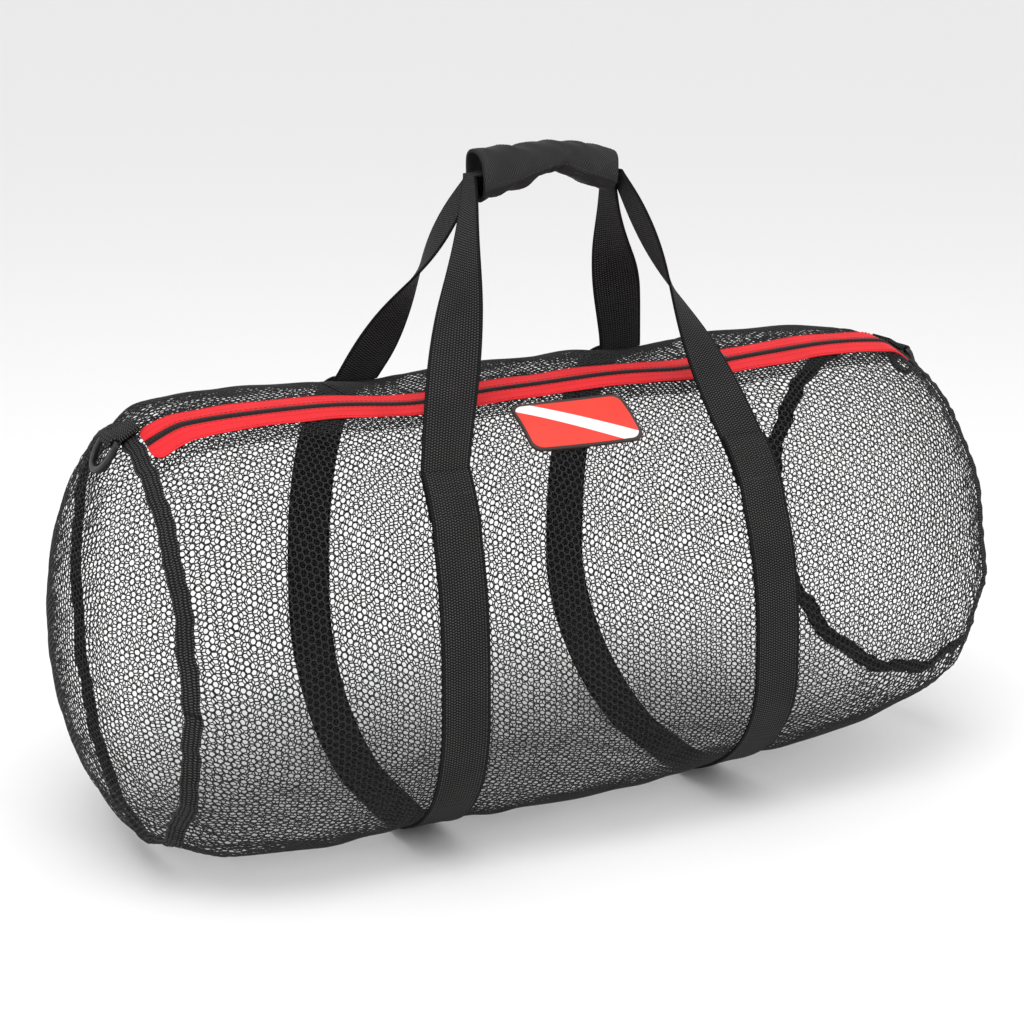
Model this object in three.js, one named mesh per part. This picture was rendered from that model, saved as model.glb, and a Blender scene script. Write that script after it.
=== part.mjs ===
// A mesh duffel bag for dive gear: a barrel of hexagonal net with gathered net ends, a zip along its
// top, two webbing straps under it, two webbing handles held together by a grip wrap, a rubber patch
// and a D-ring in a webbing loop at each end of the zip.
// Millimetres. X runs along the bag, -Y is the front with the patch, Z is up. The origin is on the
// floor under the middle of the bag.
import * as THREE from "three";
import { mergeVertices } from "three/addons/utils/BufferGeometryUtils.js";

// Driving sizes of the bag
const barrelHalf = 331; // from mid-length to an end seam
const bagHeight = 330; // top of the barrel above the floor at mid-length
const bagHalfDepth = 177; // from the middle to the front at mid-length
const endBulgeLeft = 51; // how far the left end domes out past its seam
const endBulgeRight = 40;
const netThickness = 1.5;
const clearance = 0.3; // between hard pieces that touch
const clothGap = 0.6; // between cloth pieces that lie on each other

// Webbing
const webWidth = 38;
const webThickness = 2;
const strapLeftX = -143; // middle of the left strap where it crosses the front
const strapRightX = 111;
const strapSkew = 20; // how much further right each strap is at the back than at the front
const strapPull = 8; // how far the handles pull the top of each strap in towards the grip
const strapLap = 2; // steps of the net's rings over which a strap's end covers a handle's end
const cinchDepth = 4; // how far a strap pulls the net in
const cinchReach = 42;

// Zip
const tapeWidth = 16;
const tapeThickness = 1;
const coilWidth = 7;
const coilHeight = 2.4;
const netUnderTape = 7; // width of net that the tape covers
const sliderLength = 15;
const sliderWidth = 11;
const sliderHeight = 6;
const sliderX = 138; // behind the front handle's right leg

// End seams
const bindingWidth = 11;
const bindingThickness = 1.6;
const gatherDepth = 2.2;
const gatherReach = 46;
const gatherCount = 13;
const domePower = 2.2; // roundness of the ends' profile at their middle
const domeShoulder = 0.75; // and at their seam

// Handles and grip
const carryHeight = 503; // top of the grip above the floor
const gripHalf = 57;
const gripX = 5;
const gripHeight = 38;
const gripThickness = 30; // from its front to its back
const wrapThickness = 2;
const foldedWidth = webWidth / 2; // of the webbing inside the grip
const foldedAside = 2; // how far each handle lies to its own side inside the grip
const legPull = 40; // how strongly a leg keeps its slope at the bag
const legStraight = 0.85; // 0 leaves the bag along its net, 1 straight to the grip
const mouthPull = 24; // how strongly a leg keeps its slope at the grip
const mouthSlope = { out: 0.22, spread: 0.58, down: 0.8 }; // of a leg as it leaves the grip
const mouthRoom = 4; // from the mouth to the place where the webbing starts to bend down
const twistFrom = 0.1; // stretch of a leg over which its webbing turns from the net's line
const twistTo = 0.8; // to the flat of the grip

// Patch
const patchWidth = 92;
const patchHeight = 47;
const patchThickness = 2.4;
const patchCorner = 8;
const patchLift = 0.9; // above the smooth net, whose facets stand a little off it
const patchRings = 4;
const patchSides = 36;
const patchX = -18;
const patchAngle = THREE.MathUtils.degToRad(61);

// D-rings and the webbing loops that hold them
const tabWidth = 24;
const tabThickness = 1.5; // of one of its two layers
const tabSewn = 9; // length of the loop inside the seam's middle line
const tabReach = 12; // from the seam's middle line to the D-ring's bar
const tabY = -10;
const tabTilt = THREE.MathUtils.degToRad(30); // slope of the loop, down to the bar
const ringWire = 4.4;
const ringInside = 26;
const ringReach = 25; // from the bar's middle to the outside of the bow
const ringBevel = 0.9;
const ringCorner = 3;
const ringLeanLeft = THREE.MathUtils.degToRad(31); // of a hanging D-ring, out over its net end
const ringLeanRight = THREE.MathUtils.degToRad(24);

// Steps of the meshes
const ringSteps = 56;
const barrelSteps = 16;
const endSteps = 5;
const legSteps = 9;
const gripSteps = 12;
const gripSides = 14;

// Sections of the barrel, from the left seam to the right one. top, base and belly (the height of the
// widest place) are shares of bagHeight, depth is a share of bagHalfDepth, and zip is the share of that
// depth by which the zip is set to the front. upper and lower are the roundness of the section above
// and below its belly: 2 is an ellipse, more is boxier. A base below 0 is pressed flat by the floor.
const sections = [
  { along: -1.0, top: 0.946, base: 0.036, depth: 0.72, belly: 0.45, upper: 2.0, lower: 2.15, zip: 0.25 },
  { along: -0.9, top: 0.994, base: 0.004, depth: 0.88, belly: 0.405, upper: 2.3, lower: 2.2, zip: 0.27 },
  { along: -0.5, top: 0.998, base: -0.014, depth: 0.93, belly: 0.37, upper: 2.5, lower: 2.25, zip: 0.27 },
  { along: 0.0, top: 1.0, base: -0.019, depth: 1.0, belly: 0.352, upper: 2.5, lower: 2.1, zip: 0.26 },
  { along: 0.5, top: 1.012, base: -0.012, depth: 1.03, belly: 0.36, upper: 2.35, lower: 1.88, zip: 0.24 },
  { along: 0.9, top: 1.01, base: 0.062, depth: 0.97, belly: 0.42, upper: 2.15, lower: 1.95, zip: 0.22 },
  { along: 1.0, top: 0.962, base: 0.115, depth: 0.83, belly: 0.475, upper: 2.0, lower: 1.95, zip: 0.22 },
];

// Soft swells and dents of the net: along is a share of barrelHalf, around is in degrees from the front
// over the top, reach is a share of barrelHalf, spread is in degrees and height a share of bagHeight.
const swells = [
  { along: -0.62, around: 14, reach: 0.24, spread: 30, height: 0.018 },
  { along: -0.72, around: -34, reach: 0.26, spread: 26, height: 0.015 },
  { along: -0.04, around: 36, reach: 0.2, spread: 22, height: -0.009 },
  { along: 0.02, around: -20, reach: 0.22, spread: 26, height: 0.014 },
  { along: 0.72, around: 34, reach: 0.22, spread: 24, height: 0.018 },
  { along: 0.66, around: -28, reach: 0.26, spread: 24, height: 0.014 },
  { along: -0.1, around: 150, reach: 0.26, spread: 26, height: -0.016 },
  { along: 0.66, around: 168, reach: 0.24, spread: 30, height: 0.016 },
  { along: -0.68, around: 176, reach: 0.26, spread: 30, height: 0.014 },
  { along: -0.3, around: 92, reach: 0.12, spread: 16, height: -0.008 },
  { along: 0.62, around: 94, reach: 0.14, spread: 16, height: 0.008 },
];

// The grip from its left mouth to its right one: top is a share of gripHeight below carryHeight, and
// height and thickness are shares of gripHeight and gripThickness.
const gripRows = [
  { along: -1.0, top: 0.08, height: 1.0, thickness: 1.0 },
  { along: -0.45, top: 0.03, height: 0.8, thickness: 0.96 },
  { along: 0.15, top: 0.0, height: 0.54, thickness: 0.95 },
  { along: 0.6, top: 0.04, height: 0.76, thickness: 0.96 },
  { along: 1.0, top: 0.2, height: 0.82, thickness: 1.0 },
];

const netRest = webThickness + clothGap; // height of the pressed net above the floor, on its straps
const turn = 2 * Math.PI;

// The row of a table at a share of its length, on a smooth curve through all rows.
function rowAt(table, along) {
  const last = table.length - 1;
  let i = 0;
  while (i < last - 1 && along > table[i + 1].along) i++;
  const step = table[i + 1].along - table[i].along;
  const t = THREE.MathUtils.clamp((along - table[i].along) / step, 0, 1);
  const row = {};
  for (const name of Object.keys(table[0])) {
    const slope = (k) => {
      const before = table[Math.max(k - 1, 0)];
      const after = table[Math.min(k + 1, last)];
      return (step * (after[name] - before[name])) / (after.along - before.along);
    };
    const from = table[i][name];
    const to = table[i + 1][name];
    row[name] =
      (2 * t ** 3 - 3 * t ** 2 + 1) * from +
      (t ** 3 - 2 * t ** 2 + t) * slope(i) +
      (3 * t ** 2 - 2 * t ** 3) * to +
      (t ** 3 - t ** 2) * slope(i + 1);
  }
  return row;
}

// The middle of a strap, which slants from its place at the front to its place at the back.
function strapCentre(frontX, angle) {
  const pull = strapPull * Math.max(Math.sin(angle), 0) ** 2;
  return frontX + (strapSkew * (1 - Math.cos(angle))) / 2 - Math.sign(frontX) * pull;
}

// How far the net stands out from its plain section: swells, gathers at the seams, pull of the straps.
function relief(x, angle) {
  let height = 0;
  for (const swell of swells) {
    const away = (x / barrelHalf - swell.along) / swell.reach;
    const round = THREE.MathUtils.radToDeg(angle) - swell.around;
    const turned = (round - 360 * Math.round(round / 360)) / swell.spread;
    height += swell.height * bagHeight * Math.exp(-(away ** 2) - turned ** 2);
  }
  for (const frontX of [strapLeftX, strapRightX]) {
    height -= cinchDepth * Math.exp(-(((x - strapCentre(frontX, angle)) / cinchReach) ** 2));
  }
  const side = 1 - 0.9 * Math.max(Math.sin(angle), 0);
  const nearSeam = Math.exp((Math.abs(x) - barrelHalf) / gatherReach);
  return height + gatherDepth * side * nearSeam * Math.cos(gatherCount * angle);
}

// A point of the net's outer face: x along the bag, angle 0 at the front and 90 degrees at the top.
function formPoint(x, angle) {
  const row = rowAt(sections, x / barrelHalf);
  const c = Math.cos(angle);
  const s = Math.sin(angle);
  const power = 2 / (s < 0 ? row.lower : row.upper);
  const end = s < 0 ? row.base : row.top;
  const y = -row.depth * bagHalfDepth * Math.sign(c) * Math.abs(c) ** power;
  const rise = (end - row.belly) * bagHeight * Math.abs(s) ** power;
  const swell = 1 + relief(x, angle) / Math.hypot(y, rise);
  const z = row.belly * bagHeight + rise * swell;
  return new THREE.Vector3(x, y * swell, Math.max(z, 0) + netRest);
}

// The same point lifted off the net along its normal.
function liftedPoint(x, angle, lift) {
  const dx = 0.5;
  const dAngle = 0.01;
  const alongBag = formPoint(x + dx, angle).sub(formPoint(x - dx, angle));
  const aroundBag = formPoint(x, angle + dAngle).sub(formPoint(x, angle - dAngle));
  const normal = alongBag.cross(aroundBag).normalize();
  return formPoint(x, angle).addScaledVector(normal, lift);
}

// The angle at which the upper half of the section at x reaches a depth y.
function angleAtDepth(x, y) {
  const row = rowAt(sections, x / barrelHalf);
  const share = Math.abs(y) / (row.depth * bagHalfDepth);
  return Math.acos(-Math.sign(y) * share ** (row.upper / 2));
}

// The zip's middle line at x, moved across the bag by an offset: plus is to the back.
function zipAngle(x, offset) {
  const row = rowAt(sections, x / barrelHalf);
  return angleAtDepth(x, offset - row.zip * row.depth * bagHalfDepth);
}

// A closed body from rings of points, each ring with as many points as the next, with flat ends.
function loft(rings) {
  const sides = rings[0].length;
  const position = rings.flat().flatMap((p) => [p.x, p.y, p.z]);
  const index = [];
  const top = (rings.length - 1) * sides;
  for (let start = 0; start < top; start += sides) {
    for (let i = 0; i < sides; i++) {
      const next = (i + 1) % sides;
      const [a, b, c, d] = [start + i, start + next, start + sides + next, start + sides + i];
      index.push(a, b, c, a, c, d);
    }
  }
  for (let i = 1; i < sides - 1; i++) {
    index.push(0, i + 1, i, top, top + i, top + i + 1);
  }
  return facingOut(position, index);
}

// A body with its shared vertices merged and its faces turned to the outside.
function facingOut(position, index) {
  const geometry = new THREE.BufferGeometry();
  geometry.setAttribute("position", new THREE.Float32BufferAttribute(position, 3));
  geometry.setIndex(index);
  const merged = mergeVertices(geometry, 1e-4);
  const corner = (i) => new THREE.Vector3().fromBufferAttribute(merged.attributes.position, i);
  const old = merged.index.array;
  const kept = [];
  let volume = 0;
  for (let i = 0; i < old.length; i += 3) {
    const [a, b, c] = [old[i], old[i + 1], old[i + 2]];
    if (a === b || b === c || c === a) continue;
    kept.push(a, b, c);
    volume += corner(a).dot(corner(b).cross(corner(c)));
  }
  merged.setIndex(volume < 0 ? kept.reverse() : kept);
  return merged;
}

// A thick sheet: rows of points on its outer face and the same rows on its inner face, each row open.
// The rows of a round sheet join their own two ends.
function thickSheet(outer, inner, round = false) {
  const columns = outer[0].length;
  const position = [...outer.flat(), ...inner.flat()].flatMap((p) => [p.x, p.y, p.z]);
  const index = [];
  const at = (face, j, i) => (face * outer.length + j) * columns + (i % columns);
  const quad = (a, b, c, d) => index.push(a, b, c, a, c, d);
  const spans = round ? columns : columns - 1;
  const last = outer.length - 1;
  for (let i = 0; i < spans; i++) {
    for (let j = 0; j < last; j++) {
      quad(at(0, j, i), at(0, j, i + 1), at(0, j + 1, i + 1), at(0, j + 1, i));
      quad(at(1, j, i), at(1, j + 1, i), at(1, j + 1, i + 1), at(1, j, i + 1));
    }
    quad(at(0, 0, i), at(1, 0, i), at(1, 0, i + 1), at(0, 0, i + 1));
    quad(at(0, last, i), at(0, last, i + 1), at(1, last, i + 1), at(1, last, i));
  }
  if (!round) {
    for (let j = 0; j < last; j++) {
      quad(at(0, j, 0), at(0, j + 1, 0), at(1, j + 1, 0), at(1, j, 0));
      quad(at(0, j, spans), at(1, j, spans), at(1, j + 1, spans), at(0, j + 1, spans));
    }
  }
  return facingOut(position, index);
}

// The stations along the barrel from -end to end: even steps of the whole barrel, the two edges of each
// strap and the two ends themselves.
function barrelStations(end) {
  const step = (2 * barrelHalf) / barrelSteps;
  const even = Array.from({ length: barrelSteps + 1 }, (_, i) => i * step - barrelHalf);
  const edges = [strapLeftX, strapRightX].flatMap((x) => [x - webWidth / 2, x + webWidth / 2]);
  const free = (x) => Math.abs(x) < end - step / 4 && edges.every((edge) => Math.abs(edge - x) > step / 4);
  return [-end, ...even.filter(free), ...edges, end].sort((a, b) => a - b);
}

// The angle of one step of the net's ring at x, from the zip's front edge round under the bag to its
// back edge.
function netAngle(x, step) {
  const edge = coilWidth / 2 + tapeWidth - netUnderTape;
  const front = zipAngle(x, -edge);
  const back = zipAngle(x, edge) - turn;
  return front + ((back - front) * step) / ringSteps;
}

const charcoal = new THREE.MeshStandardMaterial({ color: 0x2b2b2c, roughness: 0.85, metalness: 0 });
const netBlack = new THREE.MeshStandardMaterial({ color: 0x1c1c1e, roughness: 0.6, metalness: 0 });
const zipRed = new THREE.MeshStandardMaterial({ color: 0xd6202c, roughness: 0.8, metalness: 0 });
const coilBlack = new THREE.MeshStandardMaterial({ color: 0x141415, roughness: 0.45, metalness: 0 });
const rubberRed = new THREE.MeshStandardMaterial({ color: 0xd8392b, roughness: 0.55, metalness: 0 });
const wrapGrey = new THREE.MeshStandardMaterial({ color: 0x363638, roughness: 0.9, metalness: 0 });
const plasticBlack = new THREE.MeshStandardMaterial({ color: 0x17181a, roughness: 0.4, metalness: 0 });

const bag = new THREE.Group();
bag.position.x = (endBulgeLeft - endBulgeRight) / 2;

function addPiece(name, geometry, material, parent = bag) {
  const mesh = new THREE.Mesh(geometry, material);
  mesh.name = name;
  parent.add(mesh);
  return mesh;
}

// The barrel of net, open along the zip and at both ends
function netBody() {
  const stations = barrelStations(barrelHalf);
  const face = (lift) =>
    stations.map((x) =>
      Array.from({ length: ringSteps + 1 }, (_, step) => liftedPoint(x, netAngle(x, step), lift)),
    );
  return thickSheet(face(0), face(-netThickness));
}
addPiece("net_body", netBody(), netBlack);

// A point of an end's dome at a share of the seam ring's radius, lifted off the net
function domePoint(side, angle, radius, lift) {
  const seam = side * barrelHalf;
  const row = rowAt(sections, side);
  const bulge = (side < 0 ? endBulgeLeft : endBulgeRight) + lift;
  const middle = new THREE.Vector3(seam, 0, ((row.top + row.base) / 2) * bagHeight + netRest);
  const point = middle.lerp(liftedPoint(seam, angle, lift), radius);
  point.x = seam + side * (clearance + bulge * (1 - radius ** domePower) ** domeShoulder);
  return point;
}

// A net end: a dome that starts at the seam's ring and carries the ring's gathers to its middle
function endCap(side) {
  const face = (lift) =>
    Array.from({ length: endSteps + 1 }, (_, j) => {
      const radius = Math.sin((Math.PI * j) / (2 * endSteps));
      return Array.from({ length: ringSteps }, (_, i) => domePoint(side, (turn * i) / ringSteps, radius, lift));
    });
  return thickSheet(face(0), face(-netThickness), true);
}
addPiece("end_cap_left", endCap(-1), netBlack);
addPiece("end_cap_right", endCap(1), netBlack);

// The tape that binds an end seam: half of it lies on the barrel's edge and half on the end's
function endBinding(side) {
  const half = bindingWidth / 2;
  const bulge = side < 0 ? endBulgeLeft : endBulgeRight;
  const radius = (1 - (half / bulge) ** (1 / domeShoulder)) ** (1 / domePower);
  const face = (lift) => {
    const ring = (pointAt) => Array.from({ length: ringSteps }, (_, i) => pointAt((turn * i) / ringSteps));
    return [
      ring((angle) => liftedPoint(side * (barrelHalf - half), angle, lift)),
      ring((angle) => liftedPoint(side * barrelHalf, angle, lift + clothGap)),
      ring((angle) => domePoint(side, angle, radius, lift)),
    ];
  };
  return thickSheet(face(clothGap + bindingThickness), face(clothGap), true);
}
addPiece("end_binding_left", endBinding(-1), charcoal);
addPiece("end_binding_right", endBinding(1), charcoal);

// Zip tapes: each covers the net's edge on its side of the coil
const zipEnd = barrelHalf - bindingWidth / 2 - clearance - 1;
function zipTape(side) {
  const near = coilWidth / 2 + clearance;
  const offsets = [near, near + tapeWidth - netUnderTape, near + tapeWidth];
  const stations = barrelStations(zipEnd);
  const face = (lift) => offsets.map((o) => stations.map((x) => liftedPoint(x, zipAngle(x, side * o), lift)));
  return thickSheet(face(clothGap + tapeThickness), face(clothGap));
}
addPiece("zip_tape_front", zipTape(-1), zipRed);
addPiece("zip_tape_back", zipTape(1), zipRed);

// The closed coil between the tapes
const coilLow = clothGap - 0.4;
function zipCoil() {
  const half = coilWidth / 2;
  const rings = barrelStations(zipEnd).map((x) => [
    liftedPoint(x, zipAngle(x, -half), coilLow),
    liftedPoint(x, zipAngle(x, half), coilLow),
    liftedPoint(x, zipAngle(x, half * 0.7), coilLow + coilHeight),
    liftedPoint(x, zipAngle(x, -half * 0.7), coilLow + coilHeight),
  ]);
  return loft(rings);
}
addPiece("zip_coil", zipCoil(), coilBlack);

// The slider, a plain block on the coil
function zipSlider() {
  const ring = (x, width, low, high) => [
    liftedPoint(x, zipAngle(x, -width / 2), low),
    liftedPoint(x, zipAngle(x, width / 2), low),
    liftedPoint(x, zipAngle(x, width / 2), high),
    liftedPoint(x, zipAngle(x, -width / 2), high),
  ];
  const low = coilLow + coilHeight + clearance;
  const nose = sliderHeight / 2;
  return loft([
    ring(sliderX - sliderLength / 2, sliderWidth * 0.7, low, low + nose),
    ring(sliderX - sliderLength / 4, sliderWidth, low, low + sliderHeight - nose / 2),
    ring(sliderX + sliderLength / 4, sliderWidth, low, low + sliderHeight - nose / 2),
    ring(sliderX + sliderLength / 2, sliderWidth * 0.7, low, low + nose),
  ]);
}
addPiece("zip_slider", zipSlider(), coilBlack);

// Where the straps end and the handles leave the bag, in steps of the net's rings from the zip
const creaseStep = 4;

// A cross-section of webbing that lies on the net at a step of its rings
function webOnNet(frontX, step, low) {
  const centre = strapCentre(frontX, netAngle(frontX, step));
  const point = (side, lift) => {
    const x = centre + (side * webWidth) / 2;
    return liftedPoint(x, netAngle(x, step), lift);
  };
  const high = low + webThickness;
  return [point(-1, low), point(1, low), point(1, high), point(-1, high)];
}

// A strap under the bag, whose two ends lap over the ends of the handles
function strap(frontX) {
  const rings = [];
  for (let step = creaseStep; step <= ringSteps - creaseStep; step++) {
    const fromEnd = Math.min(step, ringSteps - step) - creaseStep;
    const lapped = fromEnd <= strapLap;
    rings.push(webOnNet(frontX, step, lapped ? 2 * clothGap + webThickness : clothGap));
  }
  return loft(rings);
}
addPiece("strap_left", strap(strapLeftX), charcoal);
addPiece("strap_right", strap(strapRightX), charcoal);

// The grip's row at a share of its half length, as heights and sizes
function gripAt(along) {
  const row = rowAt(gripRows, along);
  const height = row.height * gripHeight;
  const middle = carryHeight - row.top * gripHeight - height / 2;
  return { x: gripX + along * gripHalf, middle, height, thickness: row.thickness * gripThickness };
}

// A flat cross-section of webbing round its middle point. across points from its first edge to its
// second one and out from its inner face to its outer one.
function crossing(middle, across, out, width) {
  const a = across.clone().setLength(width / 2);
  const o = out.clone().setLength(webThickness / 2);
  const corner = (side, face) => middle.clone().addScaledVector(a, side).addScaledVector(o, face);
  return [corner(-1, -1), corner(1, -1), corner(1, 1), corner(-1, 1)];
}

// The middle of a handle inside the grip, where its webbing is folded narrow and the front handle lies
// on the back one. side is -1 for the front handle and 1 for the back one.
const handleLayer = webThickness / 2 + clothGap;
function handleInGrip(side, along) {
  const grip = gripAt(along);
  return new THREE.Vector3(grip.x, side * foldedAside, grip.middle - side * handleLayer);
}

// A leg of a handle from under its strap's end up to a mouth of the grip: end is -1 for the left one.
function handleLeg(side, frontX, end) {
  const onBag = (k) => webOnNet(frontX, side < 0 ? creaseStep + k : ringSteps - creaseStep - k, clothGap);
  const middleOf = (ring) => ring.reduce((sum, p) => sum.add(p), new THREE.Vector3()).divideScalar(4);
  const crease = middleOf(onBag(0));
  const start = handleInGrip(side, end);
  start.x += end * (mouthRoom - side * handleLayer);
  const straight = start.clone().sub(crease).normalize();
  const leave = crease.clone().sub(middleOf(onBag(1))).normalize().lerp(straight, legStraight);
  const arrive = new THREE.Vector3(end * mouthSlope.out, side * mouthSlope.spread, -mouthSlope.down);
  const curve = new THREE.CubicBezierCurve3(
    crease,
    crease.clone().add(leave.setLength(legPull)),
    start.clone().add(arrive.setLength(mouthPull)),
    start,
  );
  const alongBag = onBag(0)[1].sub(onBag(0)[0]).normalize();
  const acrossGrip = new THREE.Vector3(0, -side * end, 0);
  const rings = [];
  for (let k = strapLap; k > 0; k--) rings.push(onBag(k));
  for (let k = 0; k <= legSteps; k++) {
    const t = k / legSteps;
    const line = curve.getTangent(t);
    const across = alongBag.clone().lerp(acrossGrip, THREE.MathUtils.smoothstep(t, twistFrom, twistTo));
    const square = THREE.MathUtils.smoothstep(t, 0, 0.35) * (1 - THREE.MathUtils.smoothstep(t, 0.75, 1));
    across.addScaledVector(line, -across.dot(line) * square);
    const out = across.clone().cross(line).multiplyScalar(-side);
    const width = THREE.MathUtils.lerp(webWidth, foldedWidth, THREE.MathUtils.smoothstep(t, 0.5, 1));
    rings.push(crossing(curve.getPoint(t), across, out, width));
  }
  return rings;
}

// A handle: a leg at each strap, and the stretch inside the grip between them
function handle(side) {
  const inGrip = Array.from({ length: gripSteps + 1 }, (_, k) => {
    const middle = handleInGrip(side, (2 * k) / gripSteps - 1);
    return crossing(middle, new THREE.Vector3(0, side, 0), new THREE.Vector3(0, 0, 1), foldedWidth);
  });
  const down = handleLeg(side, strapRightX, 1).reverse();
  const turned = down.map(([a, b, c, d]) => [b, a, d, c]);
  return loft([...handleLeg(side, strapLeftX, -1), ...inGrip, ...turned]);
}
addPiece("handle_front", handle(-1), charcoal);
addPiece("handle_back", handle(1), charcoal);

// The grip wrap, a sleeve of cloth round both handles
function gripWrap() {
  const face = (inset) =>
    Array.from({ length: gripSteps + 1 }, (_, j) => {
      const grip = gripAt((2 * j) / gripSteps - 1);
      return Array.from({ length: gripSides }, (_, i) => {
        const angle = (turn * i) / gripSides;
        const bend = (value) => Math.sign(value) * Math.abs(value) ** 0.7;
        return new THREE.Vector3(
          grip.x,
          (grip.thickness / 2 - inset) * bend(Math.cos(angle)),
          grip.middle + (grip.height / 2 - inset) * bend(Math.sin(angle)),
        );
      });
    });
  return thickSheet(face(0), face(wrapThickness), true);
}
addPiece("grip_wrap", gripWrap(), wrapGrey);

// The rubber patch, bent to the net below the zip
function rubberPatch() {
  const outline = new THREE.Shape();
  const w = patchWidth / 2 - patchCorner;
  const h = patchHeight / 2 - patchCorner;
  const corners = [[w, h], [-w, h], [-w, -h], [w, -h]];
  corners.forEach(([x, y], i) => outline.absarc(x, y, patchCorner, (Math.PI * i) / 2, (Math.PI * (i + 1)) / 2));
  const rim = outline.getSpacedPoints(patchSides);
  const step = 0.05;
  const nearby = formPoint(patchX, patchAngle + step).distanceTo(formPoint(patchX, patchAngle - step));
  const anglePerMm = (2 * step) / nearby;
  const face = (lift) =>
    Array.from({ length: patchRings + 1 }, (_, j) =>
      rim.map((p) => {
        const share = j / patchRings;
        return liftedPoint(patchX + p.x * share, patchAngle + p.y * share * anglePerMm, lift);
      }),
    );
  return thickSheet(face(patchLift + patchThickness), face(patchLift), true);
}
addPiece("patch", rubberPatch(), rubberRed);

// The webbing loop of a D-ring, seen along its bar: an eye round the bar and a tongue of two layers
const eyeRadius = Math.hypot(ringWire / 2, ringWire / 2 - ringBevel) + clearance;
function ringTab() {
  const outside = eyeRadius + tabThickness;
  const open = Math.asin(tabThickness / outside);
  const shape = new THREE.Shape();
  shape.absarc(0, 0, outside, open, turn - open);
  shape.lineTo(tabReach + tabSewn, -tabThickness);
  shape.lineTo(tabReach + tabSewn, tabThickness);
  const eye = new THREE.Path();
  eye.absarc(0, 0, eyeRadius, 0, turn);
  shape.holes.push(eye);
  const geometry = new THREE.ExtrudeGeometry(shape, { depth: tabWidth, bevelEnabled: false, curveSegments: 8 });
  return closedBody(geometry.translate(0, 0, -tabWidth / 2).rotateX(Math.PI / 2));
}

// A D-ring with its bar along Y at the origin and its bow hanging down
function dRing() {
  const outside = ringInside / 2 + ringWire;
  const bowCentre = outside - ringReach;
  const barTop = ringWire / 2;
  const shape = new THREE.Shape();
  shape.absarc(0, bowCentre, outside, Math.PI, turn);
  shape.absarc(outside - ringCorner, barTop - ringCorner, ringCorner, 0, Math.PI / 2);
  shape.absarc(ringCorner - outside, barTop - ringCorner, ringCorner, Math.PI / 2, Math.PI);
  const gap = new THREE.Path();
  gap.absarc(0, bowCentre, ringInside / 2, Math.PI, turn);
  gap.lineTo(ringInside / 2, -barTop);
  gap.lineTo(-ringInside / 2, -barTop);
  shape.holes.push(gap);
  const geometry = new THREE.ExtrudeGeometry(shape, {
    depth: ringWire - 2 * ringBevel,
    bevelThickness: ringBevel,
    bevelSize: ringBevel,
    bevelOffset: -ringBevel,
    bevelSegments: 1,
    curveSegments: 7,
  });
  const upright = new THREE.Matrix4().makeBasis(
    new THREE.Vector3(0, 1, 0),
    new THREE.Vector3(0, 0, 1),
    new THREE.Vector3(1, 0, 0),
  );
  return closedBody(geometry.translate(0, 0, ringBevel - ringWire / 2).applyMatrix4(upright));
}

// A three.js geometry as one closed body with shared vertices
function closedBody(geometry) {
  const position = Array.from(geometry.attributes.position.array);
  const index = Array.from({ length: position.length / 3 }, (_, i) => i);
  return facingOut(position, index);
}

// Each loop is sewn on the binding beside the zip's end, and its D-ring hangs over the net end
for (const [name, side, lean] of [["left", -1, ringLeanLeft], ["right", 1, ringLeanRight]]) {
  const lift = 3 * clothGap + bindingThickness + tabThickness;
  const seamX = side * barrelHalf;
  const sewn = liftedPoint(seamX, angleAtDepth(seamX, tabY), lift);
  const hook = new THREE.Group();
  hook.position.set(sewn.x + side * tabReach * Math.cos(tabTilt), tabY, sewn.z - tabReach * Math.sin(tabTilt));
  bag.add(hook);
  const tab = addPiece("dring_tab_" + name, ringTab(), charcoal, hook);
  tab.rotation.set(0, side < 0 ? -tabTilt : Math.PI + tabTilt, 0);
  const ring = addPiece("dring_" + name, dRing(), plasticBlack, hook);
  ring.rotation.y = -side * lean;
}

export default bag;
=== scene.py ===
import math

import bpy
import numpy as np
from mathutils import Matrix, Vector


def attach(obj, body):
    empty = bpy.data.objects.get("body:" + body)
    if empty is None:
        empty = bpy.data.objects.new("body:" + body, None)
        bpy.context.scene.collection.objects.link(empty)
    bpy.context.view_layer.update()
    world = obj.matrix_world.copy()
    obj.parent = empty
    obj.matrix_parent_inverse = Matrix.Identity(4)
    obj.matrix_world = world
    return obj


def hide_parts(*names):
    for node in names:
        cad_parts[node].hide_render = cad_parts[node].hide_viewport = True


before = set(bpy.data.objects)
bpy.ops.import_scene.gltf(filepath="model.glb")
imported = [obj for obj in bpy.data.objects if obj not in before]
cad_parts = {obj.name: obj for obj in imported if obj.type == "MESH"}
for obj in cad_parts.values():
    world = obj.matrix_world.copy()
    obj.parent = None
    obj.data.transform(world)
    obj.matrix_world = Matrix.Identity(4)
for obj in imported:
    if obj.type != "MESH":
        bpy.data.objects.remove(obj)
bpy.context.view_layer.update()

# Camera, floor and light
# A long lens looks down on the bag from its front left, as in a shop's picture, on a pale floor that
# runs out of sight, with one large soft light above and a weak one on each side.
camera_data = bpy.data.cameras.new("camera")
camera = bpy.data.objects.new("camera", camera_data)
bpy.context.collection.objects.link(camera)
camera_turn, camera_height, camera_roll = math.radians(28), math.radians(15.8), math.radians(0.4)
look_at = Vector((-0.0135, 0, 0.218))
ahead = Vector(
    (
        math.sin(camera_turn) * math.cos(camera_height),
        math.cos(camera_turn) * math.cos(camera_height),
        -math.sin(camera_height),
    )
)
level = Vector((math.cos(camera_turn), -math.sin(camera_turn), 0))
upright = level.cross(ahead)
camera_x = level * math.cos(camera_roll) + upright * math.sin(camera_roll)
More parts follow.
